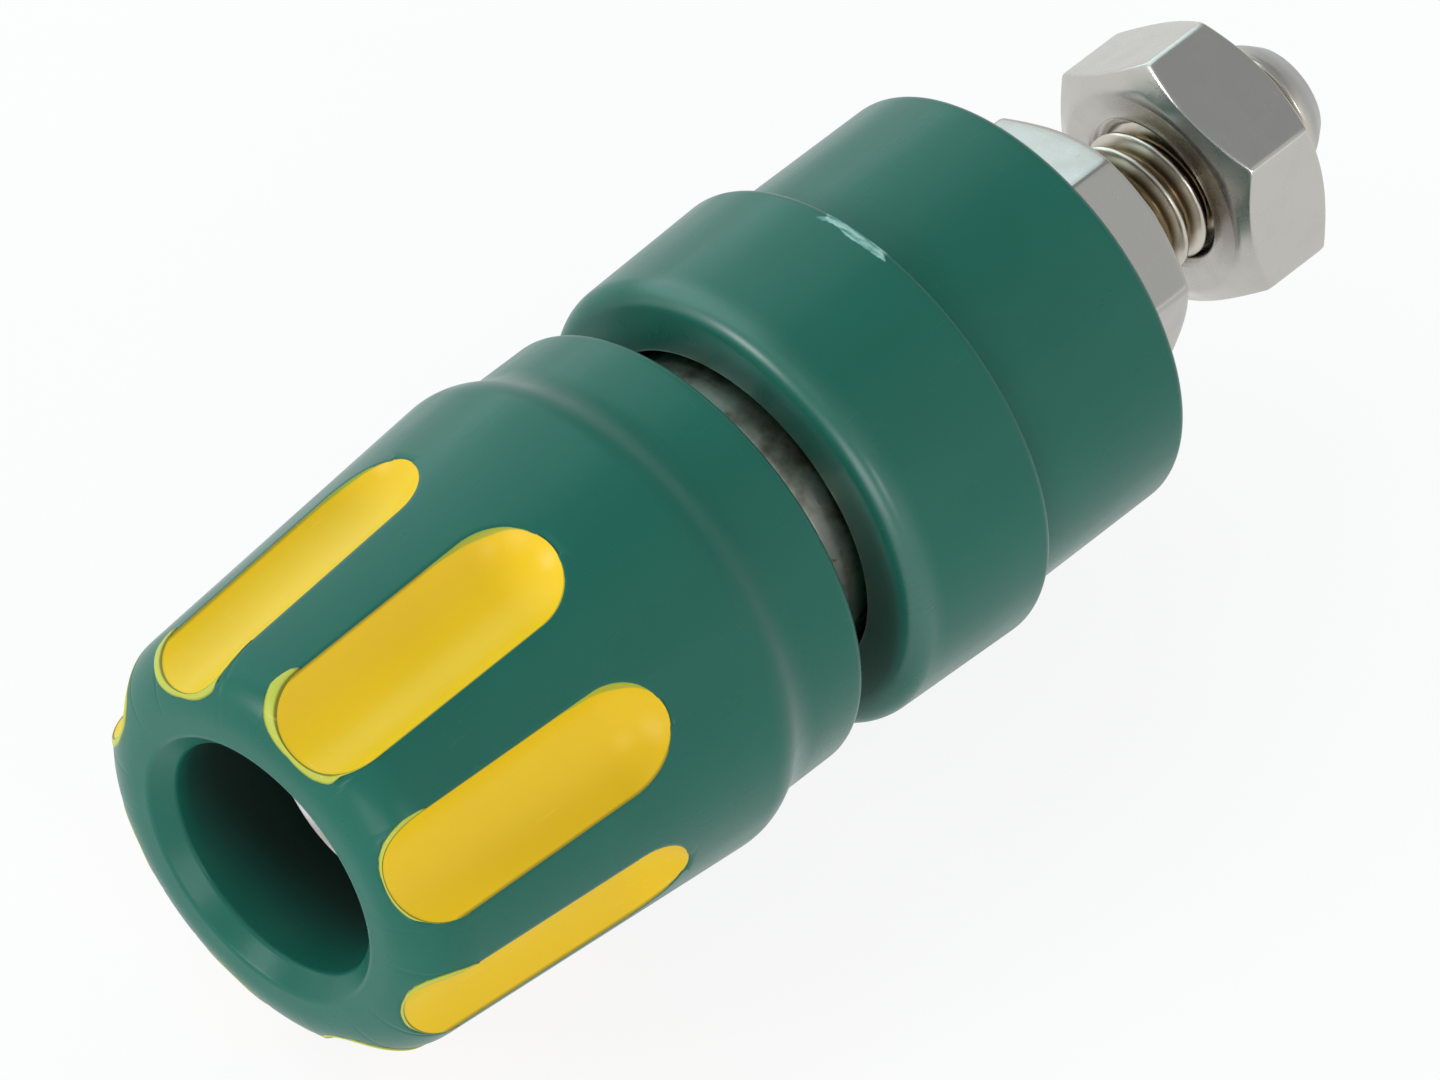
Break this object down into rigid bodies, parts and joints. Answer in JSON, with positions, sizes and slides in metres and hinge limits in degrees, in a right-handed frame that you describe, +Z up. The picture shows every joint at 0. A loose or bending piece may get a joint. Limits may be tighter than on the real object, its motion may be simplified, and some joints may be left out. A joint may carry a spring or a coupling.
{
  "type": "banana socket",
  "caption": "Insulated banana socket with a fluted, tapered screw-down knob, a panel-clamping plastic base and a threaded stud with hexagon nuts.",
  "frame": {"origin": "on the socket's axis, in the plane of the panel between the front and the rear insulator", "axes": "+Y along the axis from the knob to the nuts, +Z up, +X to the right seen from the knob"},
  "size_m": [0.0142, 0.0384, 0.0142],
  "materials": {
    "green_plastic": "semi-gloss moulded thermoplastic",
    "yellow_plastic": "semi-gloss moulded thermoplastic",
    "nickel": "bright nickel plate on brass"
  },
  "bodies": {
    "base": {"contact_post": "nickel", "front_insulator": "green_plastic", "rear_insulator": "green_plastic", "fixing_nut": "nickel"},
    "clamp": {"clamp_ring": "nickel"},
    "knob": {"knob_shell": "green_plastic", "knob_insert": "nickel", "yellow_inlay_1": "yellow_plastic", "yellow_inlay_2": "yellow_plastic", "yellow_inlay_3": "yellow_plastic", "yellow_inlay_4": "yellow_plastic", "yellow_inlay_5": "yellow_plastic", "yellow_inlay_6": "yellow_plastic", "yellow_inlay_7": "yellow_plastic", "yellow_inlay_8": "yellow_plastic"},
    "nut": {"terminal_nut": "nickel"}
  },
  "joints": [
    {"name": "knob_travel", "type": "slide", "parent": "base", "child": "clamp", "axis": [0, -1, 0], "range_m": [0, 0.004]},
    {"name": "knob_turn", "type": "hinge", "parent": "clamp", "child": "knob", "pos_m": [0, -0.0081, 0], "axis": [0, -1, 0], "range_deg": [0, 1440]},
    {"name": "nut_travel", "type": "slide", "parent": "base", "child": "nut", "axis": [0, 1, 0], "range_m": [-0.0021, 0.0018]}
  ],
  "couplings": [
    {"joint": "knob_turn", "follows": "knob_travel", "rad_per_m": 6283}
  ]
}
